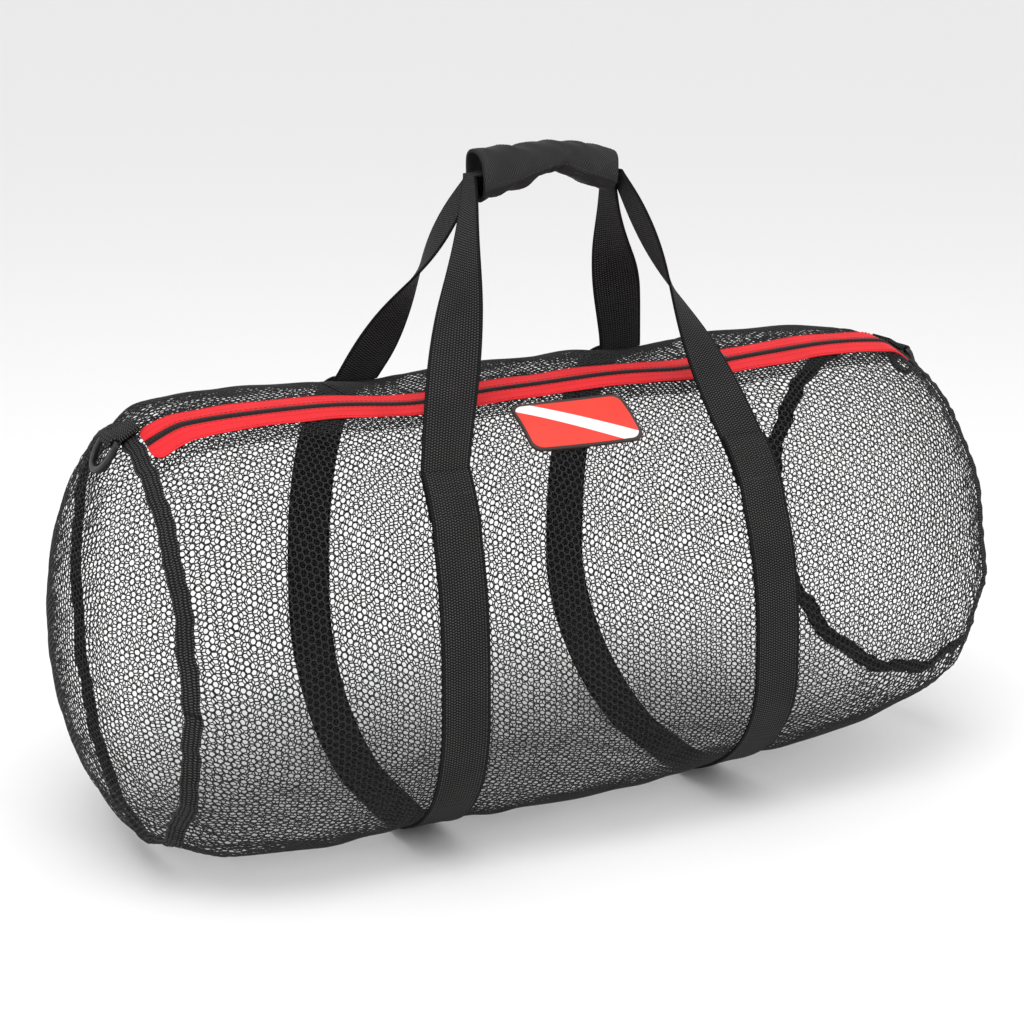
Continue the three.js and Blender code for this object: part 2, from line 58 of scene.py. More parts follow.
camera_y = upright * math.cos(camera_roll) - level * math.sin(camera_roll)
camera.matrix_world = Matrix.Translation(look_at - 1.664 * ahead) @ Matrix(
    (camera_x, camera_y, -ahead)
).transposed().to_4x4()
camera_data.sensor_width = 36
camera_data.lens = 36 * 2126 / 1024
camera_data.clip_end = 200
bpy.context.scene.camera = camera
bpy.context.scene.view_settings.view_transform = "Standard"

floor_mesh = bpy.data.meshes.new("floor")
floor_mesh.from_pydata([(-70, -70, 0), (70, -70, 0), (70, 70, 0), (-70, 70, 0)], [], [(0, 1, 2, 3)])
floor = bpy.data.objects.new("floor", floor_mesh)
bpy.context.collection.objects.link(floor)
floor_paint = bpy.data.materials.new("floor_paint")
floor_paint.use_nodes = True
floor_paint.node_tree.nodes["Principled BSDF"].inputs["Base Color"].default_value = (0.86, 0.86, 0.86, 1)
floor_paint.node_tree.nodes["Principled BSDF"].inputs["Roughness"].default_value = 0.9
floor_mesh.materials.append(floor_paint)

world = bpy.data.worlds.new("studio")
bpy.context.scene.world = world
world.use_nodes = True
world.node_tree.nodes["Background"].inputs["Color"].default_value = (1, 1, 1, 1)
world.node_tree.nodes["Background"].inputs["Strength"].default_value = 0.95
for lamp_name, place, size, power in (
    ("lamp_above", (-0.5, -0.9, 2.4), 1.4, 26),
    ("lamp_left", (-2.2, -1.2, 1.0), 0.8, 12),
    ("lamp_right", (2.0, -1.6, 1.2), 0.8, 9),
):
    lamp_data = bpy.data.lights.new(lamp_name, "AREA")
    lamp_data.size = size
    lamp_data.energy = power
    lamp = bpy.data.objects.new(lamp_name, lamp_data)
    bpy.context.collection.objects.link(lamp)
    lamp.location = place
    lamp.rotation_mode = "QUATERNION"
    lamp.rotation_quaternion = (Vector((0, 0, 0.2)) - lamp.location).to_track_quat("-Z", "Y")

# Barrel net
# One long panel of black polyester net with hexagonal holes, sewn into a barrel that is open along the
# zip. The two straps pull it in, the handles pull it up, and it is puckered where it is sewn.
barrel_half = 331
bag_height = 330
bag_half_depth = 177
end_bulge = {-1: 51, 1: 40}
bag_shift = (end_bulge[-1] - end_bulge[1]) / 2
cloth_gap = 0.6
clearance = 0.3
web_width = 38
web_thickness = 2
strap_places = {"left": -143, "right": 111}
strap_skew = 20
strap_pull = 8
cinch_depth, cinch_reach = 4, 42
gather_depth, gather_reach, gather_count = 2.2, 46, 13
tape_width = 16
coil_width = 7
net_under_tape = 7
net_rest = web_thickness + cloth_gap
cell = 5.05
strand_width = 0.95
strand_high, strand_low = 0.42, -0.3
patch_x, patch_turn = -18, 61
flat_reach, flat_turn = 62, 16

# along, top, base, depth, belly, upper, lower, zip
sections = np.array(
    [
        (-1.0, 0.946, 0.036, 0.72, 0.45, 2.0, 2.15, 0.25),
        (-0.9, 0.994, 0.004, 0.88, 0.405, 2.3, 2.2, 0.27),
        (-0.5, 0.998, -0.014, 0.93, 0.37, 2.5, 2.25, 0.27),
        (0.0, 1.0, -0.019, 1.0, 0.352, 2.5, 2.1, 0.26),
        (0.5, 1.012, -0.012, 1.03, 0.36, 2.35, 1.88, 0.24),
        (0.9, 1.01, 0.062, 0.97, 0.42, 2.15, 1.95, 0.22),
        (1.0, 0.962, 0.115, 0.83, 0.475, 2.0, 1.95, 0.22),
    ]
)
# along, around in degrees, reach, spread in degrees, height
swells = (
    (-0.62, 14, 0.24, 30, 0.018),
    (-0.72, -34, 0.26, 26, 0.015),
    (-0.04, 36, 0.2, 22, -0.009),
    (0.02, -20, 0.22, 26, 0.014),
    (0.72, 34, 0.22, 24, 0.018),
    (0.66, -28, 0.26, 24, 0.014),
    (-0.1, 150, 0.26, 26, -0.016),
    (0.66, 168, 0.24, 30, 0.016),
    (-0.68, 176, 0.26, 30, 0.014),
    (-0.3, 92, 0.12, 16, -0.008),
    (0.62, 94, 0.14, 16, 0.008),
)


def unit(vectors):
    return vectors / np.linalg.norm(vectors, axis=-1, keepdims=True)


def run_of(centres):
    """The length of the way through points, up to each of them."""
    return np.concatenate([[0], np.cumsum(np.linalg.norm(np.diff(centres, axis=0), axis=1))])


def rows_at(table, along):
    """The columns of a table at shares of its length, on a smooth curve through all its rows."""
    grid = table[:, 0]
    last = len(grid) - 1
    i = np.clip(np.searchsorted(grid, along, side="left") - 1, 0, last - 1)
    step = grid[i + 1] - grid[i]
    t = np.clip((along - grid[i]) / step, 0, 1)[..., None]

    def slope(k):
        before, after = np.maximum(k - 1, 0), np.minimum(k + 1, last)
        return (step / (grid[after] - grid[before]))[..., None] * (table[after] - table[before])

    rows = (
        (2 * t**3 - 3 * t**2 + 1) * table[i]
        + (t**3 - 2 * t**2 + t) * slope(i)
        + (3 * t**2 - 2 * t**3) * table[i + 1]
        + (t**3 - t**2) * slope(i + 1)
    )
    return np.moveaxis(rows, -1, 0)[1:]


def strap_centre(front_x, angle):
    """The middle of a strap, which slants to the back and leans in towards the grip at the top."""
    pull = strap_pull * np.maximum(np.sin(angle), 0) ** 2
    return front_x + strap_skew * (1 - np.cos(angle)) / 2 - math.copysign(1, front_x) * pull


def relief(x, angle):
    """How far the net stands out from its plain section."""
    height = np.zeros_like(x)
    for along, around, reach, spread, tall in swells:
        away = (x / barrel_half - along) / reach
        turned = np.degrees(angle) - around
        turned = (turned - 360 * np.round(turned / 360)) / spread
        height += tall * bag_height * np.exp(-(away**2) - turned**2)
    for front_x in strap_places.values():
        height -= cinch_depth * np.exp(-(((x - strap_centre(front_x, angle)) / cinch_reach) ** 2))
    side = 1 - 0.9 * np.maximum(np.sin(angle), 0)
    near_seam = np.exp((np.abs(x) - barrel_half) / gather_reach)
    return height + gather_depth * side * near_seam * np.cos(gather_count * angle)


def form_points(x, angle):
    """Points of the net's outer face: x along the bag, angle 0 at the front and 90 degrees at the top."""
    x, angle = np.broadcast_arrays(np.asarray(x, float), np.asarray(angle, float))
    top, base, depth, belly, upper, lower, _ = rows_at(sections, x / barrel_half)
    c, s = np.cos(angle), np.sin(angle)
    power = 2 / np.where(s < 0, lower, upper)
    end = np.where(s < 0, base, top)
    y = -depth * bag_half_depth * np.sign(c) * np.abs(c) ** power
    rise = (end - belly) * bag_height * np.abs(s) ** power
    swell = 1 + relief(x, angle) / np.hypot(y, rise)
    z = belly * bag_height + rise * swell
    return np.stack([x, y * swell, np.maximum(z, 0) + net_rest], -1)


def lifted_points(x, angle, lift):
    """The same points lifted off the net along its normal."""
    x, angle, lift = np.broadcast_arrays(
        np.asarray(x, float), np.asarray(angle, float), np.asarray(lift, float)
    )
    along_bag = form_points(x + 0.5, angle) - form_points(x - 0.5, angle)
    around_bag = form_points(x, angle + 0.01) - form_points(x, angle - 0.01)
    normal = unit(np.cross(along_bag, around_bag))
    return form_points(x, angle) + normal * lift[..., None]


def angle_at_depth(x, y):
    """The angle at which the upper half of the section at x reaches a depth y."""
    _, _, depth, _, upper, _, _ = rows_at(sections, np.asarray(x, float) / barrel_half)
    share = np.abs(y) / (depth * bag_half_depth)
    return np.arccos(-np.sign(y) * share ** (upper / 2))


def zip_angle(x, offset):
    """The zip's middle line at x, moved across the bag by an offset: plus is to the back."""
    _, _, depth, _, _, _, zip_share = rows_at(sections, np.asarray(x, float) / barrel_half)
    return angle_at_depth(x, offset - zip_share * depth * bag_half_depth)


def even_angles(x, first, final, shares):
    """Angles at even shares of the way round the section at x, from the first angle to the final one."""
    angles = np.linspace(first, final, 721)
    points = form_points(np.full_like(angles, x), angles)
    reached = run_of(points)
    return np.interp(shares, reached / reached[-1], angles)


def lay_of(stations, across, along):
    """Where the points of stations lie on their cloth, in millimetres across and along it."""
    shape = stations.shape[:2]
    return np.stack(
        [np.broadcast_to(across, shape), np.broadcast_to(along[:, None], shape), np.zeros(shape)], -1
    )


def add_piece(
    name, points, faces, finish, slot, nodes=(), body="bag", lay=None, smooth=True, flip=False
):
    """A mesh piece from points in millimetres, with where each point lies on its cloth as lay."""
    mesh = bpy.data.meshes.new(name)
    placed = (np.asarray(points, float).reshape(-1, 3) + (bag_shift, 0, 0)) / 1000
    placed[:, 2] = np.maximum(placed[:, 2], 0)
    mesh.from_pydata(placed, [], [face[::-1] for face in faces] if flip else faces)
    if smooth:
        mesh.shade_smooth()
    if lay is not None:
        data = mesh.attributes.new("lay", "FLOAT_VECTOR", "POINT")
        data.data.foreach_set("vector", np.asarray(lay, np.float32).ravel())
    mesh.materials.append(finish.material)
    piece = bpy.data.objects.new(name, mesh)
    bpy.context.collection.objects.link(piece)
    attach(piece, body)
    if nodes:
        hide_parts(*nodes)
    return piece


def plug(tree, place, value):
    """Puts a number, a colour or another node's output into a socket."""
    if isinstance(value, Wire):
        tree.links.new(value.socket, place)
    else:
        place.default_value = value


class Wire:
    """A socket of a material, on which Python's own signs add Math nodes."""

    def __init__(self, tree, socket):
        self.tree, self.socket = tree, socket

    def calculate(self, operation, *values):
        node = self.tree.nodes.new("ShaderNodeMath")
        node.operation = operation
        for place, value in zip(node.inputs, values):
            plug(self.tree, place, value)
        return Wire(self.tree, node.outputs[0])

    def math(self, operation, *others):
        return self.calculate(operation, self, *others)

    def __add__(self, other):
        return self.math("ADD", other)

    __radd__ = __add__

    def __mul__(self, other):
        return self.math("MULTIPLY", other)

    __rmul__ = __mul__

    def __sub__(self, other):
        return self.math("SUBTRACT", other)

    def __rsub__(self, other):
        return self.calculate("SUBTRACT", other, self)

    def __truediv__(self, other):
        return self.math("DIVIDE", other)

    def __pow__(self, other):
        return self.math("POWER", other)


def input_name(name):
    """A shader input's own name, from a Python argument's name."""
    return "Specular IOR Level" if name == "specular_ior_level" else name.replace("_", " ").title()


class Finish:
    """A material of one Principled shader, whose other nodes all come from the node method."""

    def __init__(self, name, **fixed):
        self.material = bpy.data.materials.new(name)
        self.material.use_nodes = True
        self.tree = self.material.node_tree
        self.shader = self.tree.nodes["Principled BSDF"]
        self.vary(**fixed)

    def put(self, node, inputs):
        for name, value in inputs.items():
            plug(self.tree, node.inputs[name], value)

    def node(self, kind, settings=None, inputs=None, output=0):
        node = self.tree.nodes.new("ShaderNode" + kind)
        for name, value in (settings or {}).items():
            setattr(node, name, value)
        self.put(node, inputs or {})
        return Wire(self.tree, node.outputs[output])

    def axes(self, vector):
        node = self.tree.nodes.new("ShaderNodeSeparateXYZ")
        self.tree.links.new(vector.socket, node.inputs[0])
        return [Wire(self.tree, socket) for socket in node.outputs]

    def lay(self):
        """Across, along and third value of where a point lies on its cloth, in millimetres."""
        return self.axes(
            self.node("Attribute", {"attribute_name": "lay", "attribute_type": "GEOMETRY"}, output="Vector")
        )

    def place(self):
        return self.node("TexCoord", output="Object")

    def noise(self, scale, detail=3.0, roughness=0.55, at=None):
        inputs = {"Scale": scale, "Detail": detail, "Roughness": roughness, "Vector": at or self.place()}
        return self.node("TexNoise", None, inputs)

    def mixed(self, share, first, second):
        node = self.tree.nodes.new("ShaderNodeMix")
        node.data_type = "RGBA"
        places = (node.inputs[0], node.inputs[6], node.inputs[7])
        for place, value in zip(places, (share, first, second)):
            plug(self.tree, place, value)
        return Wire(self.tree, node.outputs[2])

    def vary(self, **inputs):
        self.put(self.shader, {input_name(name): v for name, v in inputs.items()})

    def bump(self, height, distance, strength=1.0):
        """A relief, with its full depth in metres."""
        inputs = {"Height": height, "Distance": distance, "Strength": strength}
        self.vary(normal=self.node("Bump", None, inputs))


net_yarn = Finish("net_yarn", roughness=0.5, specular_ior_level=0.35)
shade = net_yarn.noise(60, 2)
net_yarn.vary(
    base_color=net_yarn.mixed(shade, (0.003, 0.003, 0.0035, 1), (0.016, 0.016, 0.017, 1)),
    roughness=0.38 + 0.25 * net_yarn.noise(400, 1),
)
net_yarn.bump(net_yarn.noise(2600, 2), 0.0002, 0.6)


def hexagon_net(name, first, final, rows, place, covered, nodes=()):
    """Net of hexagons in columns first to final. place gives the point at a step along and a row."""
    radius_steps = 2
    shrink = strand_width / cell
    column, side, row = np.meshgrid(
        np.arange(first, final + 1), np.array((-1, 1)), np.arange(rows + 1), indexing="ij"
    )
    k = 3.0 * column + 1 + side
    u = row + 0.5 * (column % 2)
    corners = [(k, u, strand_high)]
    corners.append((k - side * shrink, u + 0.5 * shrink, strand_low))
    corners.append((k - side * shrink, u - 0.5 * shrink, strand_low))
    corners.append((k + side * radius_steps * shrink, u, strand_low))
    points = np.stack([place(*corner) for corner in corners], -2)
    shown = covered(k, u)
    number = np.arange(k.size * 4).reshape(*k.shape, 4)
    faces = []

    def strand(a, b, keep, left, right):
        """Roof and bottom of the strands from joints a to joints b."""
        a, b = a[keep], b[keep]
        faces.append(np.stack([a[:, 0], a[:, left[0]], b[:, left[1]], b[:, 0]], 1))
        faces.append(np.stack([a[:, 0], b[:, 0], b[:, right[1]], a[:, right[0]]], 1))
        faces.append(np.stack([a[:, left[0]], a[:, right[0]], b[:, right[1]], b[:, left[1]]], 1))

    level_a, level_b = number[:, 0], number[:, 1]
    strand(level_a, level_b, shown[:, 0] & shown[:, 1], (1, 1), (2, 2))
    for odd in (0, 1):
        pick = np.nonzero(column[:-1, 0, 0] % 2 == odd)[0]
        a, a_shown = number[pick, 1], shown[pick, 1]
        b, b_shown = number[pick + 1, 0], shown[pick + 1, 0]
        up_a, up_b = (slice(None), slice(None)) if odd == 0 else (slice(None, -1), slice(1, None))
        down_a, down_b = (slice(1, None), slice(None, -1)) if odd == 0 else (slice(None), slice(None))
        strand(a[:, up_a], b[:, up_b], a_shown[:, up_a] & b_shown[:, up_b], (1, 3), (3, 2))
        strand(a[:, down_a], b[:, down_b], a_shown[:, down_a] & b_shown[:, down_b], (3, 1), (2, 3))
    quads = np.concatenate(faces)
    joints = number[shown]
    turned = side[shown] < 0
    triangles = np.where(turned[:, None], joints[:, [1, 3, 2]], joints[:, [1, 2, 3]])
    add_piece(name, points, quads.tolist() + triangles.tolist(), net_yarn, "net", nodes)


def eased(value, low, high):
    """0 below low, 1 above high, and a smooth way between."""
    t = np.clip((value - low) / (high - low), 0, 1)
    return t * t * (3 - 2 * t)


half_step = cell / math.sqrt(3) / 2
barrel_steps = int(2 * barrel_half / half_step)
opening_edge = coil_width / 2 + tape_width - net_under_tape
barrel_rows = 188
grid_x = -barrel_half + np.arange(barrel_steps + 1) * half_step
grid_u = np.arange(0, barrel_rows + 0.01, 0.5)


def opening_angles(x):
    """The angles of the net's two edges at the zip, with the back one a turn on."""
    return zip_angle(x, -opening_edge), zip_angle(x, opening_edge) - 2 * math.pi


grid_angle = np.stack([even_angles(x, *opening_angles(x), grid_u / barrel_rows) for x in grid_x])


def fine_folds(x, angle, from_edge):
    """Small puckers of the net at its end seams, beside the straps and over its slack cloth, in millimetres;
    they fade out towards the zip and round the patch.
    """
    clear = eased(from_edge, 14, 50)
    for front_x in strap_places.values():
        clear = clear * eased(np.abs(x - strap_centre(front_x, angle)), 22, 40)
    past_patch = ((x - patch_x) / flat_reach) ** 4 + ((np.degrees(angle) - patch_turn) / flat_turn) ** 4
    clear = clear * (1 - np.exp(-past_patch))
    from_seam = barrel_half - np.abs(x)
    seam = np.exp(-from_seam / 34) * eased(from_seam, 5, 16) * eased(from_edge, 4, 30)
    side = 1 - 0.6 * np.maximum(np.sin(angle), 0)
    gathers = 1.5 * np.sin(47 * angle + 3 * np.sin(5 * angle))
    gathers = gathers + 1.2 * np.sin(79 * angle + 2 * np.sin(9 * angle))
    puckers = seam * side * gathers
    slack = 0.9 * np.sin(x / 13 + 4 * np.sin(angle * 2.3)) * np.sin(11 * angle + x / 60)
    pulled = 0.0
    for front_x in strap_places.values():
        away = x - strap_centre(front_x, angle)
        pulled = pulled + np.exp(-((away / 75) ** 2)) * np.sin(away / 7 + 6 * np.cos(3 * angle))
    return clear * (slack + 0.8 * pulled) + puckers


grid_edge = np.minimum(grid_u, barrel_rows - grid_u)[None, :] * cell
grid_along = grid_x[:, None]
grid_base = lifted_points(grid_along, grid_angle, fine_folds(grid_along, grid_angle, grid_edge))
grid_normal = lifted_points(grid_along, grid_angle, 1) - form_points(grid_along, grid_angle)


def on_grid(values, k, u):
    """Values of the barrel's grid at a step along it and a row round it."""
    k = np.clip(k, 0, len(grid_x) - 1.001)
    v = np.clip(u * 2, 0, len(grid_u) - 1.001)
    i, j = k.astype(int), v.astype(int)
    s, t = (k - i)[..., None], (v - j)[..., None]
    low = values[i, j] * (1 - t) + values[i, j + 1] * t
    high = values[i + 1, j] * (1 - t) + values[i + 1, j + 1] * t
    return low * (1 - s) + high * s


def on_barrel(k, u, lift):
    drift_u = 0.1 * np.sin(k / 23 + u / 9) + 0.06 * np.sin(k / 7.1 - u / 5.3)
    drift_k = 0.12 * np.sin(u / 11 + k / 31)
    return on_grid(grid_base, k + drift_k, u + drift_u) + on_grid(grid_normal, k, u) * lift


barrel_columns = (barrel_steps - 2) // 3
cuts = np.linspace(0, barrel_columns, 5).astype(int)
for part, (first, final) in enumerate(zip(cuts[:-1], cuts[1:])):
    hexagon_net(
        f"net_barrel_{part + 1}",
        first,
        final,
        barrel_rows,
        on_barrel,
        lambda k, u: u <= barrel_rows,
        ("net_body",),
    )

hem_rows = 3
for hem_name, first_row in (("front", 0.3), ("back", barrel_rows - hem_rows - 0.8)):
    hexagon_net(
        f"net_hem_{hem_name}",
        0,
        barrel_columns - 1,
        hem_rows,
        lambda k, u, lift, row=first_row: on_barrel(k + 1.3, u + row, lift - 1.0),
        lambda k, u: u <= hem_rows + 0.5,
    )

# Net ends
# Each end is a round panel of the same net, gathered into the seam so that it domes out over what is
# inside. It is sewn to the barrel all round.
dome_power, dome_shoulder = 2.2, 0.75
spoke_count, ring_count = 360, 120
just_inside = 0.99999


def dome_points(side, angle, share, lift):
    """Points of an end's dome at a share of its seam's radius."""
    seam = side * barrel_half
    top, base = rows_at(sections, np.array([float(side)]))[:2, 0]
    middle = np.array([seam, 0, (top + base) / 2 * bag_height + net_rest])
    rim = lifted_points(np.full_like(angle, seam), angle, lift)
    points = middle + (rim - middle) * share[..., None]
    rise = (end_bulge[side] + lift) * (1 - share**dome_power) ** dome_shoulder
    points[..., 0] = seam + side * (clearance + rise)
    return points


for side, end_name in ((-1, "left"), (1, "right")):
    spokes = np.linspace(0, 2 * math.pi, spoke_count + 1)
    shares = np.sin(np.linspace(0, math.pi / 2, ring_count + 1))
    spoke_grid, share_grid = np.meshgrid(spokes, shares, indexing="ij")
    meridians = dome_points(side, spoke_grid, share_grid, 0 * share_grid)
    run = np.stack([run_of(meridian) for meridian in meridians])
    rim_point = meridians[:, -1] - meridians[:, 0]
    polar = np.unwrap(np.arctan2(rim_point[:, 2], -rim_point[:, 1]))
    cap_half = run.max() + cell
    cap_rows = int(2 * cap_half / cell)
    cap_columns = int(2 * cap_half / (3 * half_step))

    def seen_from_middle(k, u):
        """Angle and share of the seam's radius of a place of the net, and whether it is inside."""
        across, upward = k * half_step - cap_half, u * cell - cap_half
        far = np.hypot(across, upward)
        turned = np.arctan2(upward, across)
        turned = np.where(turned < polar[0], turned + 2 * math.pi, turned)
        angle = np.interp(turned, polar, spokes)
        which = (angle / (2 * math.pi) * spoke_count).astype(int).clip(0, spoke_count - 1)
        share = np.empty_like(far)
        for spoke in range(spoke_count):
            here = which == spoke
            share[here] = np.interp(far[here], run[spoke], shares)
        return angle, share, far <= np.interp(angle, spokes, run[:, -1])

    def on_cap(k, u, lift):
        angle, share, _ = seen_from_middle(k, u)
        gathers = np.sin(29 * angle + 2 * np.sin(4 * angle))
        gathers = gathers + 0.7 * np.sin(67 * angle + 3 * np.sin(7 * angle))
        folds = 1.6 * share**4 * gathers * eased(1 - share, 0.03, 0.12)
        return dome_points(side, angle, np.minimum(share, just_inside), lift + folds)

    hexagon_net(
        f"net_end_{end_name}",
        0,
        cap_columns,
        cap_rows,
        on_cap,
        lambda k, u: seen_from_middle(k, u)[2],
        (f"end_cap_{end_name}",),
    )

# End bindings
# A charcoal webbing tape is folded over each end seam and sewn through all its layers, which puckers it.
binding_width = 11
binding_thickness = 1.6

webbing = Finish("webbing", roughness=0.8, specular_ior_level=0.12)
across, along, _ = webbing.lay()
thread_pitch, rib_pitch = 2.1, 2.0
column = (across / thread_pitch).math("FLOOR")
warp = (across * (math.pi / thread_pitch)).math("SINE").math("ABSOLUTE")
float_up = (column * math.pi + along * (2 * math.pi / rib_pitch)).math("SINE") * 0.5 + 0.5
rib = (along * (math.pi / rib_pitch)).math("SINE").math("ABSOLUTE")
weave = float_up * warp * 0.75 + rib * 0.25
selvedge = ((across.math("ABSOLUTE") - 16.6) * 2).math("MINIMUM", 1.0).math("MAXIMUM", 0.0)
worn = webbing.noise(26, 4)
lit = (weave**2.2 * (0.5 + 1.1 * worn)) * (1 - 0.7 * selvedge)
webbing.vary(
    base_color=webbing.mixed(lit, (0.0015, 0.0015, 0.0018, 1), (0.1, 0.098, 0.096, 1)),
    roughness=0.66 + 0.2 * worn,
)
webbing.bump(weave, 0.0007, 1.0)


def skin(stations, ends="closed"):
    """Points and faces of a body from rings of points, with its ends closed, open or joined."""
    stations = np.asarray(stations)
    count, sides = stations.shape[:2]
    spans = count if ends == "joined" else count - 1
    i, j = np.meshgrid(np.arange(spans), np.arange(sides), indexing="ij")
    m, n = (i + 1) % count, (j + 1) % sides
    faces = np.stack([i * sides + j, i * sides + n, m * sides + n, m * sides + j], -1)
    faces = faces.reshape(-1, 4).tolist()
    if ends == "closed":
        faces.append(list(range(sides))[::-1])
        faces.append(list(range((count - 1) * sides, count * sides)))
    return stations.reshape(-1, 3), faces


for side, end_name in ((-1, "left"), (1, "right")):
    count = 420
    spokes = np.linspace(0, 2 * math.pi, count, endpoint=False)
    half = binding_width / 2
    pucker = 0.5 * np.sin(61 * spokes + 2 * np.sin(7 * spokes)) + 0.35 * np.sin(97 * spokes)
    wander = 0.9 * np.sin(23 * spokes + 2 * np.sin(5 * spokes)) + 0.5 * np.sin(61 * spokes)
    # distance from the seam, plus onto the end, and lift off the net
    outline = (
        (-half, 0.7),
        (-half * 1.02, 1.5),
        (-half * 0.9, 2.1),
        (-half * 0.5, 2.4),
        (-half * 0.15, 3.0),
        (half * 0.15, 3.0),
        (half * 0.5, 2.4),
        (half * 0.9, 2.1),
        (half * 1.02, 1.5),
        (half, 0.7),
        (half * 0.5, 0.7),
        (0, 1.0),
        (-half * 0.5, 0.7),
    )
    rings = []
    for reach, lift in outline:
        swelling = lift + (pucker if lift > 1.2 else 0)
        moved = reach * (1 + 0.13 * wander * np.sign(reach))
        if reach <= 0:
            rings.append(lifted_points(side * (barrel_half + moved), spokes, swelling))
        else:
            share = (1 - (moved / end_bulge[side]) ** (1 / dome_shoulder)) ** (1 / dome_power)
            rings.append(dome_points(side, spokes, share, swelling + 0 * spokes))
    stations = np.stack(rings, 1)
    add_piece(
        f"binding_{end_name}",
        *skin(stations, "joined"),
        webbing,
        "webbing",
        (f"end_binding_{end_name}",),
        lay=lay_of(stations, [reach for reach, _ in outline], run_of(stations[:, 4])),
        flip=side > 0,
    )

# Zip tapes
# Two red woven tapes, each sewn over the hemmed edge of the net with a row of thread beside the coil and
# one along its outer edge. The pull of the net makes them wave a little.
zip_end = barrel_half - binding_width / 2 - clearance - 1
coil_low = cloth_gap - 0.4
coil_height = 2.4

tape_cloth = Finish("zip_tape_cloth", roughness=0.75, specular_ior_level=0.3)
across, along, _ = tape_cloth.lay()
twill = ((along + across * 0.8) * (2 * math.pi / 0.9)).math("SINE")
worn = tape_cloth.noise(30, 4)
# Darker lines along both stitch rows of the tape: partly the tone of the dark red thread sunk into it, partly
# painted shade in the stitched dents.
outer_seam_tone_and_shade = 1 - ((across - 18.2).math("ABSOLUTE") / 0.7).math("MINIMUM", 1.0)
inner_seam_tone_and_shade = 1 - ((across - 5.4).math("ABSOLUTE") / 0.7).math("MINIMUM", 1.0)
# Painted shade: a darker line along the middle of the tape, between its two stitch rows.
middle_painted_shade = 1 - ((across - 11.0).math("ABSOLUTE") / 1.1).math("MINIMUM", 1.0)
tape_cloth.vary(
    base_color=tape_cloth.mixed(
        worn * 0.6 + 0.25 + twill * 0.1 - 0.45 * (outer_seam_tone_and_shade + inner_seam_tone_and_shade) - 0.25 * middle_painted_shade,
        (0.42, 0.003, 0.008, 1),
        (0.88, 0.022, 0.03, 1),
    ),
)
tape_cloth.bump(twill * 0.2 + 0.5, 0.0003, 0.7)

red_thread = Finish("red_thread", roughness=0.6, specular_ior_level=0.4)
red_thread.vary(
    base_color=red_thread.mixed(red_thread.noise(300, 2), (0.3, 0.004, 0.008, 1), (0.6, 0.015, 0.02, 1))
)

round_end = 7
rounding = zip_end - round_end + round_end * np.sin(np.linspace(0, math.pi / 2, 10))
straight = np.linspace(-zip_end + round_end, zip_end - round_end, 331)
zip_x = np.unique(np.concatenate([-rounding, straight, rounding]))


def zip_line(x, offset):
    """The zip's middle line with the slow wave that its sewing leaves in it, moved by an offset."""
    return zip_angle(x, offset + 1.1 * np.sin(x / 41 + 0.6) + 0.5 * np.sin(x / 17.5))


def joined(parts):
    """One list of points and one of faces from several."""
    points, faces, base = [], [], 0
    for part_points, part_faces in parts:
        points.append(part_points)
        faces += [[v + base for v in face] for face in part_faces]
        base += len(part_points)
    return np.concatenate(points), faces


def stitches(line, ups, length=2.6, gap=1.1, thick=0.55):
    """Stitches along a line of points: slim six-sided grains that dip into the cloth at both ends."""
    reached = run_of(line)
    angles = np.linspace(0, 2 * math.pi, 6, endpoint=False)[None, :, None]
    rise = np.array([-0.5, 0.25, 0.25, -0.5])[:, None] * thick
    fat = np.array([0.55, 1, 1, 0.55])[:, None, None] * thick / 2
    grains = []
    for start in np.arange(gap, reached[-1] - length, length + gap):
        at = start + length * np.array([0, 0.25, 0.75, 1.0])
        centre = np.stack([np.interp(at, reached, line[:, a]) for a in range(3)], 1)
        up = np.stack([np.interp(at, reached, ups[:, a]) for a in range(3)], 1)
        sideways = np.cross(up, unit(centre[-1] - centre[0]))[:, None]
        around = np.cos(angles) * sideways + np.sin(angles) * up[:, None]
        grains.append(skin((centre + up * rise)[:, None] + fat * around))
    return joined(grains)


